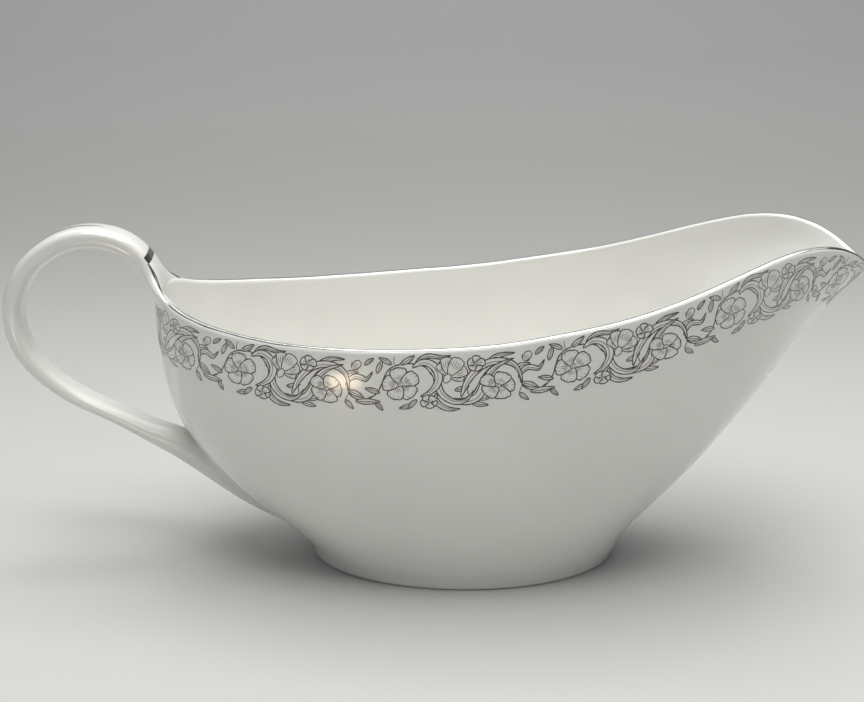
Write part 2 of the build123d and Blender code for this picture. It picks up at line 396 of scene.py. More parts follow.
def build_bowl():
    rows = []
    base = 4.0
    ts = np.concatenate([np.linspace(0, 0.12, 13)[:-1], np.linspace(0.12, 1, 60)])
    for t in ts:
        z = base + (z_top - base) * t
        rows.append(hull(z, ang))
    centre = p_top - n_top * LIP
    for th in np.linspace(0, np.pi, 17)[1:-1]:
        rows.append(centre + n_top * LIP * math.cos(th) + up_top * LIP * math.sin(th))
    floor_from = 9.5
    for t in np.linspace(1, 0, 52):
        z = floor_from + (z_top - floor_from) * t
        rows.append(hull(z, ang) - hull_normal(z, ang) * wall_thickness(z)[..., None])
    p0 = rows[-1]
    t0 = unit(rows[-1] - rows[-2])
    mid = np.array([8.9, 0.0, 7.6])
    p3 = mid + (p0 - mid) * np.array([0.52, 0.52, 0.0])
    inward = unit(p3 * [1, 1, 0] - p0 * [1, 1, 0])
    reach = np.linalg.norm(p3 - p0, axis=1, keepdims=True) * 0.42
    p1, p2 = p0 + t0 * reach, p3 - inward * reach
    for t in np.linspace(0, 1, 15)[1:]:
        rows.append(
            (1 - t) ** 3 * p0 + 3 * (1 - t) ** 2 * t * p1 + 3 * (1 - t) * t * t * p2 + t**3 * p3
        )
    for f in (0.8, 0.6, 0.4, 0.2, 0.07):
        rows.append(mid + (p3 - mid) * np.array([f, f, 1.0]) + np.array([0, 0, -0.12 * (1 - f * f)]))
    n_in = len(rows)
    verts = np.concatenate(rows)
    faces = grid_faces(n_in, COLS)
    k = len(verts)
    verts = np.vstack([verts, mid + [0, 0, -0.12]])
    last = (n_in - 1) * COLS
    for j in range(COLS):
        faces.append((last + j, last + (j + 1) % COLS, k))
    # underside: a flat seat on the foot ring, then the shallow glazed recess
    under = []
    edge = rows[0]
    c = np.array([9.0, 0.0, 4.0])
    for f, dz in ((0.97, 0.0), (0.93, 0.0), (0.865, 0.0), (0.84, 0.04), (0.80, 0.22), (0.74, 0.42), (0.6, 0.6), (0.4, 0.68), (0.2, 0.7), (0.07, 0.7)):
        under.append(c + (edge - c) * np.array([f, f, 0]) + np.array([0, 0, dz]))
    s0 = len(verts)
    verts = np.vstack([verts, np.concatenate(under)])
    for j in range(COLS):
        q = (j + 1) % COLS
        faces.append((j, s0 + j, s0 + q, q))
    for i in range(len(under) - 1):
        for j in range(COLS):
            q = (j + 1) % COLS
            faces.append((s0 + i * COLS + j, s0 + (i + 1) * COLS + j, s0 + (i + 1) * COLS + q, s0 + i * COLS + q))
    k2 = len(verts)
    verts = np.vstack([verts, c + [0, 0, 0.7]])
    last = s0 + (len(under) - 1) * COLS
    for j in range(COLS):
        faces.append((last + j, k2, last + (j + 1) % COLS))
    return make_object("bowl_shell", verts, faces, [mat_bowl], sharp=50)


bowl = build_bowl()
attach(bowl, "root")
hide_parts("bowl")


# ------------------------------------------------------------------ foot ring
def inset_section(z, inset):
    c, s = np.cos(ang), np.sin(ang)
    z = float(z)
    l, r, h = float(AFT(z)), float(FORE(z)), float(HALF(z))
    return np.stack(
        [
            (l + r) / 2 + ((r - l) / 2 - inset) * c,
            (h - inset) * s * fullness(z, c),
            np.full(COLS, z),
        ],
        -1,
    )


def build_foot():
    rows, mats = [], []
    for z in np.linspace(4.0, 1.1, 10):
        rows.append(inset_section(z, 0.0))
        mats.append(0)
    for th in np.linspace(0, np.pi / 2, 7)[1:]:
        p = inset_section(1.1, 1.1 * (1 - math.cos(th)))
        p[:, 2] = 1.1 * (1 - math.sin(th))
        rows.append(p)
        mats.append(0 if th < 1.2 else 1)
    for w in (1.45, 1.85, 2.25):
        p = inset_section(1.1, w)
        p[:, 2] = 0.0
        rows.append(p)
        mats.append(1)
    for th in np.linspace(0, np.pi / 2, 7)[1:]:
        p = inset_section(1.1, 2.25 + 1.0 * math.sin(th))
        p[:, 2] = 1.0 * (1 - math.cos(th))
        rows.append(p)
        mats.append(1 if th < 0.5 else 0)
    for t in np.linspace(0, 1, 7)[1:]:
        p = inset_section(1.1, 3.25 + 0.55 * t + 1.9 * t**3)
        p[:, 2] = 1.0 + 3.0 * t
        rows.append(p)
        mats.append(0)
    n = len(rows)
    verts = np.concatenate(rows)
    faces, fm = [], []
    for i in range(n):
        k = (i + 1) % n
        for j in range(COLS):
            q = (j + 1) % COLS
            faces.append((i * COLS + j, k * COLS + j, k * COLS + q, i * COLS + q))
            fm.append(mats[i])
    return make_object("foot_ring_body", verts, faces, [mat_foot, mat_bisque], face_mat=fm, sharp=50)


foot = build_foot()
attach(foot, "root")
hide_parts("foot_ring")

# ------------------------------------------------------------------ handle
# x, z of the centreline, half thickness, half width, curve across the strap, squareness
STRAP = [
    (-75.10, 68.0, 0.95, 11.6, 0.0237, 2.6),
    (-75.28, 72.0, 1.12, 16.3, 0.0235, 2.6),
    (-75.40, 75.0, 1.38, 15.3, 0.0215, 2.6),
    (-75.66, 77.0, 1.66, 12.6, 0.0185, 2.6),
    (-76.25, 79.3, 2.05, 9.3, 0.0130, 2.6),
    (-77.50, 82.2, 2.42, 6.9, 0.0065, 2.7),
    (-79.60, 85.4, 2.70, 5.90, 0.0020, 2.9),
    (-84.60, 89.6, 2.82, 5.85, 0.0, 3.1),
    (-91.50, 91.6, 2.87, 6.05, 0.0, 3.2),
    (-99.00, 91.0, 2.90, 6.15, 0.0, 3.2),
    (-106.20, 87.5, 2.95, 6.05, 0.0, 3.1),
    (-112.20, 81.7, 2.95, 5.90, 0.0, 2.9),
    (-115.50, 74.3, 2.90, 5.70, 0.0, 2.6),
    (-116.00, 66.4, 2.85, 5.60, 0.0, 2.5),
    (-113.50, 58.8, 2.70, 5.60, 0.0, 2.5),
    (-108.00, 52.0, 2.50, 5.60, 0.0, 2.5),
    (-101.20, 46.7, 2.30, 5.60, 0.0, 2.5),
    (-93.60, 42.7, 2.20, 5.60, 0.0, 2.5),
    (-86.00, 38.9, 2.30, 5.60, 0.0, 2.5),
    (-79.20, 35.3, 2.80, 5.70, 0.0, 2.5),
    (-72.70, 32.3, 3.70, 5.90, 0.0, 2.4),
    (-66.40, 28.6, 4.20, 6.10, 0.0, 2.3),
    (-60.20, 23.8, 4.00, 6.10, 0.0, 2.2),
    (-54.20, 18.8, 3.40, 5.70, 0.0, 2.2),
    (-48.00, 14.1, 2.70, 4.80, 0.0, 2.1),
    (-43.00, 10.4, 1.80, 3.30, 0.0, 2.0),
    (-39.60, 8.2, 0.90, 1.60, 0.0, 2.0),
]
sx = np.array([r[0] for r in STRAP])
sz = np.array([r[1] for r in STRAP])
su = np.r_[0, np.cumsum(np.hypot(np.diff(sx), np.diff(sz)))]
H_LEN = su[-1]
HX, HZ = Spline1(su, sx), Spline1(su, sz)
HT, HW = Spline1(su, [r[2] for r in STRAP]), Spline1(su, [r[3] for r in STRAP])
HB, HN = Spline1(su, [r[4] for r in STRAP]), Spline1(su, [r[5] for r in STRAP])


def handle_surface(u, psi, lift=0.0):
    """Point on the strap; psi 0 is the +Y edge and pi/2 the crown, u is mm along the strap."""
    u, psi = np.broadcast_arrays(np.asarray(u, float), np.asarray(psi, float))
    e = 0.05
    tx, tz = HX(u + e) - HX(u - e), HZ(u + e) - HZ(u - e)
    size = np.hypot(tx, tz)
    tx, tz = tx / size, tz / size
    nx, nz = tz, -tx
    c, s = np.cos(psi), np.sin(psi)
    k = 2 / HN(u)
    yy = np.sign(c) * np.abs(c) ** k * (HW(u) + lift)
    tt = np.sign(s) * np.abs(s) ** k * (HT(u) + lift)
    off = tt + HB(u) * yy * yy
    return np.stack([HX(u) + nx * off, yy, HZ(u) + nz * off], -1)


def hull_gap(p):
    """Signed distance from the outside wall, in mm; positive outside."""

    def g(q):
        z = np.clip(q[..., 2], 0.5, 96)
        l, r = AFT(z), FORE(z)
        c = np.clip((q[..., 0] - (l + r) / 2) / ((r - l) / 2), -1.0, 1.0)
        return np.sqrt(((q[..., 0] - (l + r) / 2) / ((r - l) / 2)) ** 2 + (q[..., 1] / (HALF(z) * fullness(z, c))) ** 2) - 1

    e = 0.02
    v = g(p)
    grad = np.stack([(g(p + d) - g(p - d)) / (2 * e) for d in np.eye(3) * e], -1)
    size = np.linalg.norm(grad, axis=-1)
    return v / size, grad / size[..., None]


def build_handle():
    rings, around = 420, 96
    us = np.linspace(0, H_LEN, rings)
    # even spacing round the superellipse
    ps = np.linspace(0, 2 * np.pi, around, endpoint=False)
    grid = np.zeros((rings, around, 3))
    for i, u in enumerate(us):
        fine = np.linspace(0, 2 * np.pi, 721)
        ring = handle_surface(u, fine)
        d = np.r_[0, np.cumsum(np.linalg.norm(np.diff(ring, axis=0), axis=1))]
        want = np.linspace(0, d[-1], around, endpoint=False)
        for k in range(3):
            grid[i, :, k] = np.interp(want, d, ring[:, k])
    # small luting fillet where the lower strap joins the wall
    low = us > H_LEN * 0.6
    part = grid[low]
    gap, normal = hull_gap(part)
    centre = part.mean(axis=1, keepdims=True)
    away = part - centre
    away -= (away * normal).sum(-1, keepdims=True) * normal
    r = 1.6
    d = np.clip(gap, 0, r)
    push = np.where(gap < r, r - np.sqrt(np.maximum(r * r - (r - d) ** 2, 0)), 0.0)
    ramp_in = smoothstep(0.62, 0.72, us[low] / H_LEN)[:, None]
    grid[low] = part + unit(away) * (push * ramp_in)[..., None]
    verts = grid.reshape(-1, 3)
    faces = []
    for i in range(rings - 1):
        for j in range(around):
            q = (j + 1) % around
            faces.append((i * around + j, (i + 1) * around + j, (i + 1) * around + q, i * around + q))
    k = len(verts)
    verts = np.vstack([verts, grid[0].mean(0), grid[-1].mean(0)])
    last = (rings - 1) * around
    for j in range(around):
        q = (j + 1) % around
        faces.append((j, q, k))
        faces.append((last + q, last + j, k + 1))
    return make_object("handle_strap", verts, faces, [mat_handle], sharp=60)


handle = build_handle()
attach(handle, "root")
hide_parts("handle")


# ------------------------------------------------------------------ thin raised films
def film(name, top, bottom, mat, close_u=False):
    """Closed thin sheet between two point grids of the same shape."""
    rows, cols = top.shape[:2]
    verts = np.concatenate([top.reshape(-1, 3), bottom.reshape(-1, 3)])
    faces = []
    off = rows * cols
    last = rows if close_u else rows - 1
    for i in range(last):
        n = (i + 1) % rows
        for j in range(cols - 1):
            a, b, c, d = i * cols + j, i * cols + j + 1, n * cols + j + 1, n * cols + j
            faces.append((a, b, c, d))
            faces.append((off + a, off + d, off + c, off + b))
        for j, flip in ((0, False), (cols - 1, True)):
            a, d = i * cols + j, n * cols + j
            f = (a, d, off + d, off + a)
            faces.append(f[::-1] if flip else f)
    if not close_u:
        for i, flip in ((0, True), (rows - 1, False)):
            for j in range(cols - 1):
                a, b = i * cols + j, i * cols + j + 1
                f = (a, b, off + b, off + a)
                faces.append(f if not flip else f[::-1])
    return make_object(name, verts, faces, [mat], sharp=40)


def paint_edge_shade(obj, cols):
    """Give the outermost strip on both long edges of a film a dark tone: painted shade standing in for the dark
    reflections along the rounded band's edges.
    """
    for poly in obj.data.polygons:
        across = [v % cols for v in poly.vertices]
        if max(across) <= 1 or min(across) >= cols - 2:
            poly.material_index = 1


def lip_point(a, th, lift):
    """Point on the rounded lip; th 0 is outside, pi inside."""
    z, p, n, up = wall_parts(a)
    c = p - n * LIP
    r = LIP + lift
    th = np.asarray(th)
    return c + n * (r * np.cos(th))[..., None] + up * (r * np.sin(th))[..., None]


# rim line: from one side of the handle, round the pouring lip, to the other side
aa = np.linspace(-np.pi + 0.27, np.pi - 0.27, 900)
ths = np.radians([46, 54, 57, 64, 71, 78, 85, 91, 95, 104])
A, T = np.meshgrid(aa, ths, indexing="ij")
wob = 0.04 * np.sin(A * 23) + 0.03 * np.sin(A * 41 + 1)
near_end = smoothstep(math.pi - 0.27, math.pi - 0.40, np.abs(A))
T = math.radians(76) + (T - math.radians(76)) * (0.35 + 0.65 * near_end)
rim = film("platinum_rim_line", lip_point(A, T + wob, 0.035), lip_point(A, T + wob, -0.03), mat_platinum)
# edge strips of the rim line get the dark tone as painted shade
rim.data.materials.append(mat_dark_stroke_and_edge_shade)
paint_edge_shade(rim, len(ths))
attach(rim, "root")
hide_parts("rim_line")


def u_of(x, z):
    """Distance along the strap nearest to a point of its centreline."""
    uu = np.linspace(0, H_LEN, 4000)
    return uu[np.argmin((HX(uu) - x) ** 2 + (HZ(uu) - z) ** 2)]


def handle_film(name, u, psi, node, mats=None):
    top, bot = handle_surface(u, psi, 0.035), handle_surface(u, psi, -0.03)
    o = film(name, top, bot, mat_dark if mats is None else mats[0])
    if mats is not None and len(mats) > 1:
        o.data.materials.append(mats[1])
        paint_edge_shade(o, np.shape(u)[1])
    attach(o, "root")
    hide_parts(node)
    return o


u_band = u_of(-80.6, 86.4)
uu, vv = np.meshgrid(np.linspace(0, 1, 9), np.linspace(0, 1, 33), indexing="ij")
psi = math.radians(16) + vv * math.radians(134)
handle_film(
    "platinum_cross_band",
    u_band - 1.7 - 1.5 * vv + 1.9 * uu + 0.12 * np.sin(vv * np.pi * 2.3),
    psi,
    "handle_cross_band",
)
u_root = u_of(-75.5, 76.0)
cross = np.array([-1.0, -0.62, -0.35, 0.0, 0.35, 0.62, 1.0])
uu, vv = np.meshgrid(np.linspace(0, 1, 80), cross, indexing="ij")
for side, node in ((-1, "handle_line_near"), (1, "handle_line_far")):
    u = u_root + (u_band - 3.0 - u_root) * uu
    edge = math.radians(30)
    spread = math.radians(8.5) * (0.25 + 0.95 * np.sin(uu * np.pi * 0.86 + 0.2))
    p = edge + vv * spread
    if side < 0:
        p = np.pi - p
    # edge strips of the handle lines get the dark tone as painted shade
    handle_film("platinum_" + node, u, p, node, (mat_platinum, mat_dark_stroke_and_edge_shade))

u0, u1 = u_of(-90.4, 91.4), u_of(-116.0, 71.0)
uu, vv = np.meshgrid(np.linspace(0, 1, 90), np.linspace(-1, 1, 5), indexing="ij")
wid = 0.52 * np.sin(np.pi * np.clip(uu, 0.004, 0.996) ** 0.8) ** 0.7
u = u0 + (u1 - u0) * uu
k = HN(u) / 2
psi = np.pi / 2 - np.sign(vv) * np.arccos(np.clip(1 - 0.5 * (np.abs(vv) * wid / HW(u)) ** (2 * k), -1, 1)) * 0
y = vv * wid
ratio = np.clip(np.abs(y) / HW(u), 1e-6, 1) ** k
psi = np.where(y >= 0, np.arccos(ratio), np.pi - np.arccos(ratio))
handle_film("platinum_spine_stroke", u, psi, "handle_spine_line", (mat_dark_stroke_and_edge_shade,))

# ------------------------------------------------------------------ floral print, drawn as pen strokes
UNIT = 43.0   # mm along the rim for one repeat
BAND = 14.6   # mm high


def bez(p0, p1, p2, p3, n=18):
    t = np.linspace(0, 1, n)[:, None]
    p0, p1, p2, p3 = (np.array(p, float) for p in (p0, p1, p2, p3))
    return (1 - t) ** 3 * p0 + 3 * (1 - t) ** 2 * t * p1 + 3 * (1 - t) * t * t * p2 + t**3 * p3


def smooth_path(pts, n=40):
    """Centripetal-like smooth curve through a few points."""
    p = np.array(pts, float)
    d = np.r_[0, np.cumsum(np.linalg.norm(np.diff(p, axis=0), axis=1) ** 0.7)]
    q = np.linspace(0, d[-1], n)
    return np.stack([Spline1(d, p[:, 0])(q), Spline1(d, p[:, 1])(q)], -1)


def place(p, at, angle, flip=1.0):
    c, s = math.cos(angle), math.sin(angle)
    x, y = p[:, 0], p[:, 1] * flip
    return np.stack([at[0] + c * x - s * y, at[1] + s * x + c * y], -1)


def inside(poly, p):
    """Even-odd test of points p against a closed outline."""
    x, y = p[:, 0][:, None], p[:, 1][:, None]
    x0, y0 = poly[:, 0][None], poly[:, 1][None]
    x1, y1 = np.roll(poly[:, 0], -1)[None], np.roll(poly[:, 1], -1)[None]
    hit = ((y0 > y) != (y1 > y)) & (x < (x1 - x0) * (y - y0) / np.where(y1 == y0, 1e-9, y1 - y0) + x0)
    return hit.sum(1) % 2 == 1


class Print:
    """Collects pen strokes from front to back; each closed shape hides what comes after."""

    def __init__(self):
        self.strokes, self.masks = [], []

    def line(self, p, w, masked=True):
        p = np.asarray(p, float)
        seg = np.linalg.norm(np.diff(p, axis=0), axis=1)
        d = np.r_[0, np.cumsum(seg)]
        if d[-1] < 0.15:
            return
        n = max(4, int(d[-1] / 0.22))
        q = np.linspace(0, d[-1], n)
        p = np.stack([np.interp(q, d, p[:, 0]), np.interp(q, d, p[:, 1])], -1)
        keep = np.ones(n, bool)
        if masked:
            for m, lo, hi in self.masks:
                near = (p[:, 0] > lo[0]) & (p[:, 0] < hi[0]) & (p[:, 1] > lo[1]) & (p[:, 1] < hi[1])
                if near.any():
                    keep[near] &= ~inside(m, p[near])
        run = []
        for i in range(n + 1):
            if i < n and keep[i]:
                run.append(i)
            else:
                if len(run) >= 4:
                    whole = len(run) == n
                    self.strokes.append((p[run], w, (run[0] > 0, run[-1] < n - 1)))
                run = []

    def mask(self, poly):
        self.masks.append((poly, poly.min(0), poly.max(0)))

    def shape(self, poly, w, closed=True):
        p = np.vstack([poly, poly[:1]]) if closed else poly
        self.line(p, w)
        return poly


def petal(length, width, notch=0.06, lean=0.0, n=34):
    """Rounded petal from its claw at the origin, pointing along +x, lightly scalloped at its tip."""
    f = np.linspace(0, 2 * np.pi, n + 1)[:-1]
    x = (1 - np.cos(f)) / 2
    y = 0.5 * np.sin(f) * (0.52 + 0.66 * x)
    edge = np.clip((x - 0.5) / 0.5, 0, 1)
    x = x * (1 + 0.045 * edge * np.cos(7 * (f - math.pi)))
    x = x - notch * np.exp(-(((f - math.pi) / 0.26) ** 2))
    p = np.stack([length * x, width * y], -1)
    p[:, 1] += lean * p[:, 0] ** 2 / length
    return p


def flower(pr, at, radius, turn, squash=1.0, petals=5, tilt=0.0, seed=0):
    """Open blossom: a beaded eye and rounded petals with radial shading."""
    rnd = np.random.RandomState(seed)
    c, s = math.cos(tilt), math.sin(tilt)

    def sq(p):
        x, y = p[:, 0] * c + p[:, 1] * s, -p[:, 0] * s + p[:, 1] * c
        y = y * squash
        return np.stack([x * c - y * s + at[0], x * s + y * c + at[1]], -1)

    big = radius > 3.2
    ring = np.linspace(0, 2 * np.pi, 17)[:-1]
    eye = np.stack([np.cos(ring), np.sin(ring)], -1) * radius * 0.15
    pr.shape(sq(eye), 0.20)
    if big:
        pr.line(sq(eye * 0.45), 0.16)
    pr.mask(sq(eye))
    for k in range(petals):
        a = turn + k * 2 * np.pi / petals + rnd.uniform(-0.09, 0.09)
        ln, wd = radius * rnd.uniform(0.93, 1.05), radius * rnd.uniform(0.92, 1.06)
        wd *= 5 / petals
        ro = place(petal(ln, wd, 0.07, rnd.uniform(-0.10, 0.10)), (0, 0), a)
        outline = sq(ro)
        pr.line(np.vstack([outline, outline[:1]]), 0.29)
        span = 3 if big else 1
        for j in range(-span, span + 1):
            v = j / (span + 0.55)
            r0, r1 = 0.22 + 0.03 * abs(j), 0.60 - 0.06 * abs(j) + rnd.uniform(-0.07, 0.10)
            x = np.linspace(r0, r1, 6)
            y = v * wd * 0.5 * np.sqrt(np.clip(x * (1 - x) * 4, 0, 1)) * (0.52 + 0.66 * x) * 0.9
            pr.line(sq(place(np.stack([x * ln, y], -1), (0, 0), a)), 0.14)
            if big and j % 2 == 0:
                x = np.linspace(0.93 - 0.04 * abs(j), 0.76 - 0.03 * abs(j), 5)
                y = v * wd * 0.5 * np.sqrt(np.clip(x * (1 - x) * 4, 0, 1)) * 1.05
                pr.line(sq(place(np.stack([x * ln, y], -1), (0, 0), a)), 0.12)
        pr.mask(outline)


def side_flower(pr, at, angle, size, flip=1.0, seed=0):
    """Blossom seen from the side: three front petals, two behind, and a small calyx."""
    rnd = np.random.RandomState(seed)
    cal = np.array([(0, 0), (0.30, 0.22), (0.62, 0.16), (0.74, 0.0), (0.62, -0.16), (0.30, -0.22)]) * size * 0.62
    cal = place(smooth_path(np.vstack([cal, cal[:1]]), 24)[:-1], at, angle, flip)
    pr.shape(cal, 0.22)
    pr.mask(cal)
    root = place(np.array([[0.36 * size, 0.0]]), at, angle, flip)[0]
    for a, ln, wd in ((0.02, 1.0, 0.62), (0.58, 0.92, 0.58), (-0.58, 0.90, 0.58), (1.08, 0.74, 0.5), (-1.05, 0.72, 0.5)):
        p = petal(ln * size * 0.92, wd * size, 0.10, rnd.uniform(-0.1, 0.1))
        q = place(p, root, angle + a * flip, flip)
        pr.line(np.vstack([q, q[:1]]), 0.24)
        for j in range(-2, 3):
            x = np.linspace(0.42, 0.82 - 0.07 * abs(j), 6)
            y = j / 2.9 * wd * size / 2 * np.sin(np.pi * x**1.7)
            pr.line(place(np.stack([x * ln * size * 0.92, y], -1), root, angle + a * flip, flip), 0.12)
        pr.mask(q)


def bud(pr, at, angle, size):
    t = np.linspace(0, 2 * np.pi, 25)[:-1]
    p = np.stack([size * 0.5 * (1 - np.cos(t)) * 1.0, size * 0.33 * np.sin(t) * (1 - 0.15 * np.cos(t))], -1)
    q = place(p, at, angle)
    pr.shape(q, 0.22)
    for k in (-1, 0, 1):
        x = np.linspace(0.15, 0.72 - 0.12 * abs(k), 6) * size
        y = k * size * 0.17 * np.sin(np.pi * np.clip(x / size, 0, 1))
        pr.line(place(np.stack([x, y], -1), at, angle), 0.12, masked=True)
    pr.mask(q)
    for k in (-1, 1):
        s = bez((0, 0), (0.1 * size, 0.28 * k * size), (0.28 * size, 0.42 * k * size), (0.46 * size, 0.40 * k * size), 8)
        pr.line(place(s, at, angle), 0.18)


def leaf(pr, at, angle, length, width, curl=0.0, hatch=5, flip=1.0):
    """Almond leaf with a midrib and a few shading strokes on its lower half."""
    n = 20
    t = np.linspace(0, 1, n)
    mid = np.stack([length * t, curl * length * t * t], -1)
    tang = np.gradient(mid, axis=0)
    tang /= np.linalg.norm(tang, axis=1)[:, None]
    nor = np.stack([-tang[:, 1], tang[:, 0]], -1)
    w = width / 2 * np.sin(np.pi * t**0.85) ** 0.9
    up, dn = mid + nor * w[:, None], mid - nor * w[:, None] * 0.92
    poly = place(np.vstack([up, dn[::-1][1:-1]]), at, angle, flip)
    pr.line(np.vstack([poly, poly[:1]]), 0.27)
    pr.line(place(mid[1 : int(n * 0.86)], at, angle, flip), 0.16)
    for k in range(hatch):
        f = 0.18 + 0.62 * k / max(hatch - 1, 1)
        i = int(f * (n - 1))
        a, b = mid[i] - nor[i] * w[i] * 0.12, mid[min(i + 2, n - 1)] - nor[min(i + 2, n - 1)] * w[min(i + 2, n - 1)] * 0.72
        pr.line(place(np.stack([a, (a + b) / 2, b]), at, angle, flip), 0.11)
    pr.mask(poly)


def blade(pr, spine, width, side=1.0, veins=(0.42,), w=0.29):
    """Long scrolling leaf along a path, full in the middle and pointed at its tip, with long veins."""
    p = smooth_path(spine, 46)
    tang = np.gradient(p, axis=0)
    tang /= np.linalg.norm(tang, axis=1)[:, None]
    nor = np.stack([-tang[:, 1], tang[:, 0]], -1) * side
    t = np.linspace(0, 1, len(p))
    prof = width * np.sin(np.pi * t**0.8) ** 0.8
    outer = p + nor * prof[:, None]
    poly = np.vstack([p, outer[::-1][1:-1]])
    pr.line(p, w * 1.05)
    pr.line(outer, w)
    for k, f in enumerate(veins):
        i, j = int((0.12 + 0.10 * k) * 45), int((0.90 - 0.14 * k) * 45)
        pr.line((p + nor * (prof * f)[:, None])[i:j], 0.14)
    pr.mask(poly)


def floral_unit():
    """One repeat of a scrolling floral border, in mm; x runs along the rim, y = 0 is its lower edge."""
    pr = Print()
    # blossoms first: they stand in front
    flower(pr, (7.4, 7.3), 5.0, 0.45, 0.88, 5, 0.3, 3)
    flower(pr, (31.4, 5.6), 4.5, 1.15, 0.86, 5, -0.4, 9)
    side_flower(pr, (18.4, 7.2), 0.98, 6.2, 1.0, 5)
    flower(pr, (26.6, 11.9), 2.35, 0.2, 0.9, 5, 0.2, 14)
    flower(pr, (14.4, 2.5), 2.25, 0.9, 0.85, 5, 0.0, 21)
    bud(pr, (38.3, 11.2), 0.75, 2.9)
    bud(pr, (23.4, 10.9), 2.15, 2.4)
    # long scrolling leaves
    blade(pr, [(10.6, 11.4), (14.2, 11.9), (16.2, 9.2), (14.6, 5.6), (12.2, 4.0)], 2.0, 1.0)
    blade(pr, [(13.6, 12.4), (17.2, 9.4), (18.2, 5.2), (22.2, 2.6), (25.6, 5.0)], 1.7, -1.0)
    blade(pr, [(18.0, 3.2), (22.6, 1.3), (27.2, 2.6), (30.2, 8.6), (36.2, 12.2)], 2.0, 1.0)
    blade(pr, [(22.4, 3.2), (25.4, 7.8), (30.0, 11.0), (35.6, 10.0), (37.2, 5.0)], 1.8, 1.0)
    blade(pr, [(16.4, 4.8), (17.0, 2.6), (19.2, 0.9), (22.0, 0.3)], 1.3, -1.0)
    blade(pr, [(28.6, 10.4), (30.0, 12.9), (33.0, 14.0), (36.6, 13.6)], 1.25, -1.0)
    blade(pr, [(36.6, 6.6), (39.4, 8.6), (41.6, 8.0), (43.6, 10.6)], 1.3, 1.0)
    blade(pr, [(11.4, 12.4), (14.6, 13.9), (18.0, 13.6), (20.6, 14.4)], 1.1, 1.0)
    # almond leaves
    leaf(pr, (5.6, 12.4), 2.55, 3.8, 1.25, 0.1, 3)
    leaf(pr, (7.6, 12.4), 0.42, 4.4, 1.35, 0.12, 4)
    leaf(pr, (1.6, 10.0), 1.25, 3.9, 1.25, -0.12, 4)
    leaf(pr, (35.6, 9.4), 0.35, 4.4, 1.35, -0.15, 4)
    leaf(pr, (37.0, 5.4), -0.30, 4.4, 1.45, -0.1, 4)
    leaf(pr, (36.2, 3.0), -0.95, 3.2, 1.2, 0.1, 3)
    leaf(pr, (38.8, 2.7), -0.05, 6.4, 1.55, 0.05, 5)
    leaf(pr, (43.9, 2.6), -1.00, 2.9, 1.1, 0.1, 3)
    leaf(pr, (0.9, 2.6), -1.00, 2.9, 1.1, 0.1, 3)
    leaf(pr, (2.2, 5.0), 2.75, 4.0, 1.3, 0.1, 4)
    leaf(pr, (45.2, 5.0), 2.75, 4.0, 1.3, 0.1, 4)
    leaf(pr, (11.4, 3.2), -2.45, 3.6, 1.15, 0.1, 2)
    leaf(pr, (10.2, 1.9), -2.75, 3.6, 1.2, -0.1, 3)
    leaf(pr, (24.6, 1.6), -0.30, 4.2, 1.25, 0.08, 4)
    leaf(pr, (26.4, 2.4), 0.10, 3.6, 1.1, 0.1, 3)
    leaf(pr, (22.6, 12.2), 2.7, 3.2, 1.1, 0.1, 3)
    leaf(pr, (17.2, 12.4), 0.2, 3.6, 1.15, 0.1, 3)
    leaf(pr, (41.4, 12.2), 0.7, 3.2, 1.05, -0.1, 3)
    leaf(pr, (-1.6, 12.2), 0.7, 3.2, 1.05, -0.1, 3)
    leaf(pr, (20.8, 5.2), 0.15, 3.9, 1.2, 0.1, 3)
    # stems
    stem = smooth_path([(-6.5, 4.9), (-2.0, 3.1), (1.8, 5.6), (4.6, 11.0), (10.2, 12.6), (14.6, 11.0), (17.2, 5.9), (20.6, 2.6), (24.8, 3.8), (28.4, 9.0), (32.6, 11.2), (36.6, 8.6), (37.2, 4.9), (40.4, 3.0), (44.8, 5.6)], 150)
    keep = (stem[:, 0] > -1.2) & (stem[:, 0] < 43.4)
    pr.line(stem[keep], 0.32)
    pr.line(smooth_path([(14.8, 10.2), (16.8, 8.2), (18.6, 7.2)], 12), 0.24)
    pr.line(smooth_path([(24.2, 3.8), (24.2, 7.6), (26.2, 10.4)], 14), 0.22)
    pr.line(smooth_path([(16.4, 7.6), (16.6, 4.6), (15.0, 2.8)], 14), 0.22)
    pr.line(smooth_path([(6.2, 12.2), (4.8, 13.2), (4.4, 14.4)], 10), 0.18)
    pr.line(smooth_path([(6.3, 12.2), (6.0, 13.4), (6.4, 14.5)], 10), 0.18)
    pr.line(smooth_path([(37.2, 7.4), (37.4, 9.6), (38.6, 11.3)], 10), 0.2)
    pr.line(smooth_path([(37.3, 5.0), (36.8, 4.0), (36.2, 3.0)], 10), 0.22)
    return pr.strokes


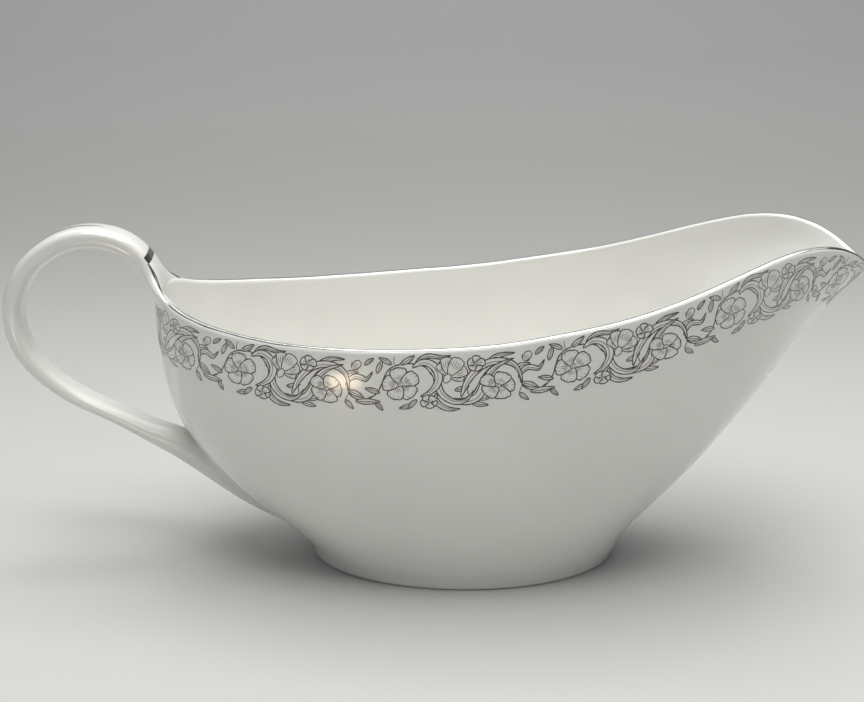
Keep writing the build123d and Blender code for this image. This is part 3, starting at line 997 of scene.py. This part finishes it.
def print_map(side):
    """Grid over the wall below the rim: rows run along the rim, columns run square down from it."""
    al = np.linspace(math.pi - 0.10, 0.0, 900)
    a = al * side
    p = hull(wall_top(a), a)
    run = np.r_[0, np.cumsum(np.linalg.norm(np.diff(p, axis=0), axis=1))]
    count = 460
    even = np.linspace(0, run[-1], count)
    a0 = np.interp(even, run, al) * side
    z0 = wall_top(a0)
    rim = hull(z0, a0)
    along = unit(np.gradient(rim, axis=0))
    step = 0.5
    drops = np.arange(-2, 40) * step
    grid = np.zeros((count, len(drops), 3))
    nrm = np.zeros_like(grid)
    good = np.ones((count, len(drops)), bool)

    def walk(sign, cells):
        a, z, p = a0.copy(), z0.copy(), rim.copy()
        n = hull_normal(z, a)
        w = unit(np.cross(n, along))
        w *= np.where(w[:, 2:] > 0, -1.0, 1.0) * sign
        ok = np.ones(count, bool)
        for k, cell in enumerate(cells):
            if k or cell != 2:
                w = unit(w - (w * n).sum(-1, keepdims=True) * n)
                q = p + w * step
                z = q[:, 2]
                l, r = AFT(z), FORE(z)
                c = (q[:, 0] - (l + r) / 2) / ((r - l) / 2)
                ok &= np.abs(c) < 0.9992
                a = np.arccos(np.clip(c, -1, 1)) * side
                p = hull(z, a)
                n = hull_normal(z, a)
            grid[:, cell], nrm[:, cell], good[:, cell] = p, n, ok

    walk(1.0, range(2, len(drops)))
    walk(-1.0, (1, 0))
    return even[-1], drops, grid, nrm, good.astype(float)[..., None]


def lookup(table, fi, fj):
    i, j = np.floor(fi).astype(int), np.floor(fj).astype(int)
    i, j = np.clip(i, 0, table.shape[0] - 2), np.clip(j, 0, table.shape[1] - 2)
    u, v = (fi - i)[:, None], (fj - j)[:, None]
    return (
        table[i, j] * (1 - u) * (1 - v) + table[i + 1, j] * u * (1 - v)
        + table[i, j + 1] * (1 - u) * v + table[i + 1, j + 1] * u * v
    )


def build_print(name, side, node, strokes):
    length, drops, grid, nrm, good = print_map(side)
    rnd = np.random.RandomState(7 if side < 0 else 8)
    verts, faces, base = [], [], 0
    start = -10.0 if side < 0 else -6.0
    first_drop = 0.15
    for rep in range(-1, 7):
        for p, w, cut in strokes:
            s = p[:, 0] + start + rep * UNIT
            h = first_drop + (BAND - p[:, 1])
            ok = (s > 0.4) & (s < length - 0.5)
            if not ok.all():
                idx = np.flatnonzero(ok)
                if len(idx) < 4 or idx[-1] - idx[0] + 1 != len(idx):
                    continue
                s, h = s[idx], h[idx]
            along = s if side < 0 else length - s
            fi = along / length * (grid.shape[0] - 1)
            fj = (h - drops[0]) / (drops[-1] - drops[0]) * (len(drops) - 1)
            if lookup(good, fi, fj).min() < 0.999:
                continue
            q, n = lookup(grid, fi, fj), unit(lookup(nrm, fi, fj))
            t = unit(np.gradient(q, axis=0))
            across = unit(np.cross(n, t))
            m = len(q)
            d = np.r_[0, np.cumsum(np.linalg.norm(np.diff(q, axis=0), axis=1))]
            taper = np.ones(m)
            if not cut[0]:
                taper *= 0.35 + 0.65 * smoothstep(0, 0.6, d)
            if not cut[1]:
                taper *= 0.35 + 0.65 * smoothstep(0, 0.6, d[-1] - d)
            ph = rnd.uniform(0, 6.28)
            half = (w * 0.5 * taper * (1 + 0.14 * np.sin(d * 2.3 + ph)))[:, None]
            lift = 0.026 + rnd.uniform(0, 0.008)
            ring = np.stack(
                [q + across * half + n * lift, q - across * half + n * lift,
                 q - across * half - n * 0.02, q + across * half - n * 0.02], 1
            )
            verts.append(ring.reshape(-1, 3))
            for i in range(m - 1):
                o = base + 4 * i
                for k in range(4):
                    kk = (k + 1) % 4
                    faces.append((o + k, o + 4 + k, o + 4 + kk, o + kk))
            e = base + 4 * (m - 1)
            faces.append((base, base + 1, base + 2, base + 3))
            faces.append((e + 3, e + 2, e + 1, e))
            base += 4 * m
    obj = make_object(name, np.concatenate(verts), faces, [mat_ink], smooth=False)
    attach(obj, "root")
    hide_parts(node)
    return obj


pen = floral_unit()
build_print("floral_print_near", -1, "floral_transfer_near", pen)
build_print("floral_print_far", 1, "floral_transfer_far", pen)

# ------------------------------------------------------------------ stage
mat_floor, nt, b, co = node_material("studio_floor")
n = noise(nt, co, 3.0, 2.0)
sep = nt.nodes.new("ShaderNodeSeparateXYZ")
nt.links.new(co.outputs["Object"], sep.inputs[0])
painted_shade_by_y = nt.nodes.new("ShaderNodeMapRange")
painted_shade_by_y.inputs["From Min"].default_value = 0.0
painted_shade_by_y.inputs["From Max"].default_value = 2.0
nt.links.new(sep.outputs["Y"], painted_shade_by_y.inputs["Value"])
# Paper tone along Y: pale in front, painted shade as a grey band behind the boat, then painted lighter again far
# back to offset the light falling off
paper = ramp(nt, painted_shade_by_y.outputs["Result"], [(p, (v, v * 1.006, v * 0.99, 1)) for p, v in (
    (0.04, 0.615), (0.115, 0.500), (0.18, 0.400), (0.29, 0.395), (0.42, 0.455), (0.64, 0.600), (0.97, 0.690))])
paper.color_ramp.interpolation = "B_SPLINE"
mottle = ramp(nt, n.outputs["Fac"], [(0.3, grey(0.985)), (0.7, grey(1.0))])
blend = nt.nodes.new("ShaderNodeMix")
blend.data_type = "RGBA"
blend.blend_type = "MULTIPLY"
blend.inputs["Factor"].default_value = 1.0
nt.links.new(paper.outputs["Color"], blend.inputs["A"])
nt.links.new(mottle.outputs["Color"], blend.inputs["B"])
nt.links.new(blend.outputs["Result"], b.inputs["Base Color"])
b.inputs["Roughness"].default_value = 0.42


def build_sweep():
    """Paper roll: flat floor, painted from pale to grey behind the boat as painted shade, then a slow bend upward
    far back.
    """
    prof = [(-4.0, 0.0), (1.3, 0.0)]
    for t in np.linspace(0, np.pi / 2, 33)[1:]:
        prof.append((1.3 + 0.9 * math.sin(t), 0.9 * (1 - math.cos(t))))
    prof.append((2.2, 2.8))
    verts, faces = [], []
    for yv, zv in prof:
        verts += [(-4.0, yv, zv), (4.0, yv, zv)]
    for i in range(len(prof) - 1):
        faces.append((2 * i, 2 * i + 1, 2 * i + 3, 2 * i + 2))
    return make_object("studio_sweep", np.array(verts) / MM, faces, [mat_floor])


sweep = build_sweep()

# ------------------------------------------------------------------ camera
scene = bpy.context.scene
cam_data = bpy.data.cameras.new("camera")
cam = bpy.data.objects.new("camera", cam_data)
scene.collection.objects.link(cam)
scene.camera = cam
cam_data.sensor_fit = "HORIZONTAL"
cam_data.sensor_width = 36.0
cam_data.lens = 1606.5 / 864 * 36.0
cam_data.clip_start, cam_data.clip_end = 0.01, 20
ELEV, DIST = math.radians(16.5), 0.450
target = Vector((0.0, 0.0, 0.0587))
cam.location = target + Vector((0, -math.cos(ELEV), math.sin(ELEV))) * DIST
cam.rotation_euler = (math.pi / 2 - ELEV, 0, 0)


# ------------------------------------------------------------------ light
def area(name, loc, at, size, size_y, power, color=(1, 1, 1)):
    d = bpy.data.lights.new(name, "AREA")
    d.shape = "RECTANGLE"
    d.size, d.size_y = size, size_y
    d.energy = power
    d.color = color
    o = bpy.data.objects.new(name, d)
    scene.collection.objects.link(o)
    o.location = loc
    o.rotation_euler = (Vector(at) - Vector(loc)).to_track_quat("-Z", "Y").to_euler()
    return o


area("top_soft", (0.06, -0.03, 1.0), (0, -0.02, 0), 1.15, 0.75, 12.3, (1.0, 0.99, 0.965))
area("back_wash", (0.0, 1.15, 1.35), (0, 1.0, 0), 2.6, 1.0, 9.0, (0.985, 0.99, 1.0))
area("left_fill", (-1.2, -0.55, 0.55), (0, 0, 0.05), 0.7, 0.7, 0.8, (0.92, 0.96, 1.0))
area("right_fill", (1.2, -0.55, 0.55), (0, 0, 0.05), 0.7, 0.7, 0.8, (0.92, 0.96, 1.0))
glint = area("warm_glint", (-0.113, -0.214, 0.016), (-0.022, -0.042, 0.063), 0.034, 0.014, 0.018, (1.0, 0.80, 0.52))
glint.visible_diffuse = False
glint.visible_camera = False

world = bpy.data.worlds.new("studio")
scene.world = world
world.use_nodes = True
bg = world.node_tree.nodes["Background"]
bg.inputs["Color"].default_value = (0.80, 0.82, 0.83, 1)
bg.inputs["Strength"].default_value = 0.15
scene.view_settings.view_transform = "Standard"
scene.view_settings.look = "None"
